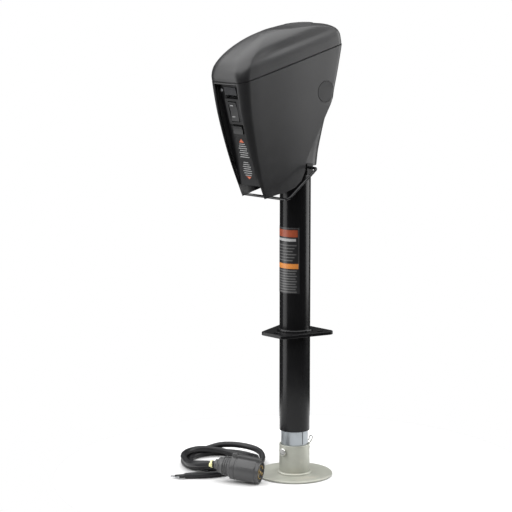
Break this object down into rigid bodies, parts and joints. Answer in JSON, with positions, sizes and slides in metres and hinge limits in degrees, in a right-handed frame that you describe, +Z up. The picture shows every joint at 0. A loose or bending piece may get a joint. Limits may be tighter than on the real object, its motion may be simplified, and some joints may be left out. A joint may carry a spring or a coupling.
{
  "type": "trailer tongue jack",
  "caption": "Electric A-frame trailer tongue jack: powered head on a flanged tube, screw-driven inner leg with a pinned foot pad, wire bail, and a loose cable with a seven-way plug.",
  "frame": {"origin": "centre of the foot pad's underside, on the tube axis", "axes": "+Z up along the tube; the switch panel faces -Y"},
  "size_m": [0.3009, 0.262, 0.845],
  "materials": {
    "zinc_foot": "yellow-grey zinc plate over steel, satin",
    "zinc_leg": "blue-grey zinc plate over drawn tube, satin",
    "plated_pin": "bright zinc plate",
    "black_powder": "black powder coat, semi-gloss",
    "black_wire": "black coated wire, gloss",
    "bare_steel": "machined steel",
    "bronze": "machined bronze",
    "die_cast": "die-cast aluminium",
    "motor_paint": "dark paint on rolled steel",
    "magnet": "sintered ferrite and carbon",
    "armature_iron": "varnished laminations and windings",
    "copper": "turned copper",
    "grey_plastic": "moulded dark grey plastic, fine texture",
    "cap_plastic": "moulded plastic, fine texture",
    "panel_plastic": "moulded black plastic",
    "rocker_plastic": "moulded switch plastic",
    "lens": "frosted ribbed lens",
    "board": "circuit board",
    "panel_print": "printed film with plain arrows and bars",
    "tube_print": "printed film with plain colour blocks",
    "cable_jacket": "extruded cable jacket",
    "plug_shell": "moulded plug shell",
    "brass_contact": "brass contacts",
    "tie_nylon": "natural nylon"
  },
  "bodies": {
    "leg": {"foot_plate": "zinc_foot", "foot_socket": "zinc_foot", "foot_weld": "zinc_foot", "inner_leg": "zinc_leg", "drive_nut": "bronze", "harness_coil": "cable_jacket", "harness_plug_end": "cable_jacket", "harness_lead_end": "cable_jacket", "plug_body": "plug_shell", "plug_contacts": "brass_contact", "cable_tie": "tie_nylon", "lead_boot": "cable_jacket", "terminal_sleeves": "cable_jacket", "ring_terminals": "bare_steel"},
    "pin": {"foot_pin": "plated_pin"},
    "clip": {"hairpin_clip": "plated_pin"},
    "column": {"outer_tube": "black_powder", "mounting_flange": "black_powder", "flange_weld": "black_powder", "thrust_plate": "black_powder", "bearing_race_upper": "bare_steel", "bearing_balls": "bare_steel", "case_bushing": "bronze", "idler_shaft": "bare_steel", "gearbox_case": "die_cast", "gearbox_cover": "die_cast", "gearbox_screws": "bare_steel", "motor_can": "motor_paint", "motor_end_cap": "motor_paint", "motor_magnets": "magnet", "motor_brushes": "magnet", "circuit_breaker": "panel_plastic", "housing_shell": "grey_plastic", "channel_liner": "grey_plastic", "side_plugs": "grey_plastic", "rear_neck_cover": "grey_plastic", "top_lid": "grey_plastic", "switch_panel": "panel_plastic", "switch_frame": "panel_plastic", "light_switch_case": "panel_plastic", "led_lens": "lens", "led_board": "board", "panel_label": "panel_print", "panel_screw": "bare_steel", "tube_label": "tube_print", "bail_bracket": "black_powder"},
    "screw": {"lead_screw": "bare_steel", "manual_hex": "bare_steel", "output_gear": "bare_steel", "bearing_race_lower": "bare_steel"},
    "idler": {"idler_wheel": "bare_steel", "idler_pinion": "bare_steel"},
    "rotor": {"motor_shaft": "bare_steel", "armature": "armature_iron", "commutator": "copper", "motor_pinion": "bare_steel"},
    "cap": {"override_cap": "cap_plastic"},
    "updown": {"updown_rocker": "rocker_plastic"},
    "light": {"light_rocker": "rocker_plastic"},
    "bail": {"harness_bail": "black_wire"}
  },
  "joints": [
    {"name": "leg_extend", "type": "slide", "parent": "leg", "child": "column", "axis": [0, 0, 1], "range_m": [0, 0.35]},
    {"name": "motor_spin", "type": "hinge", "parent": "column", "child": "rotor", "pos_m": [0, -0.075, 0.65], "axis": [0, 0, 1], "range_deg": [0, 165375.01]},
    {"name": "idler_spin", "type": "hinge", "parent": "column", "child": "idler", "pos_m": [0.00608, -0.04168, 0.72], "axis": [0, 0, 1], "range_deg": [-47250.01, 0]},
    {"name": "screw_spin", "type": "hinge", "parent": "column", "child": "screw", "pos_m": [0, 0, 0.7], "axis": [0, 0, 1], "range_deg": [0, 15750.01]},
    {"name": "pin_turn", "type": "hinge", "parent": "leg", "child": "pin", "pos_m": [0, 0, 0.048], "axis": [0, 1, 0], "range_deg": [-35, 35]},
    {"name": "clip_pull", "type": "slide", "parent": "pin", "child": "clip", "axis": [0.6428, 0, 0.766], "range_m": [0, 0.032]},
    {"name": "cap_lift", "type": "slide", "parent": "column", "child": "cap", "axis": [0, 0, 1], "range_m": [0, 0.03]},
    {"name": "updown_rock", "type": "hinge", "parent": "column", "child": "updown", "pos_m": [0, -0.14926, 0.69433], "axis": [1, 0, 0], "range_deg": [-7, 7], "stiffness_Nm_per_rad": 0.2},
    {"name": "light_rock", "type": "hinge", "parent": "column", "child": "light", "pos_m": [0, -0.13961, 0.66068], "axis": [1, 0, 0], "range_deg": [-6, 6]},
    {"name": "bail_swing", "type": "hinge", "parent": "column", "child": "bail", "pos_m": [0, -0.0053, 0.5842], "axis": [1, 0, 0], "range_deg": [0, 30]}
  ],
  "couplings": [
    {"joint": "screw_spin", "follows": "leg_extend", "rad_per_m": 785.4},
    {"joint": "idler_spin", "follows": "leg_extend", "rad_per_m": -2356.2},
    {"joint": "motor_spin", "follows": "leg_extend", "rad_per_m": 8246.7}
  ]
}
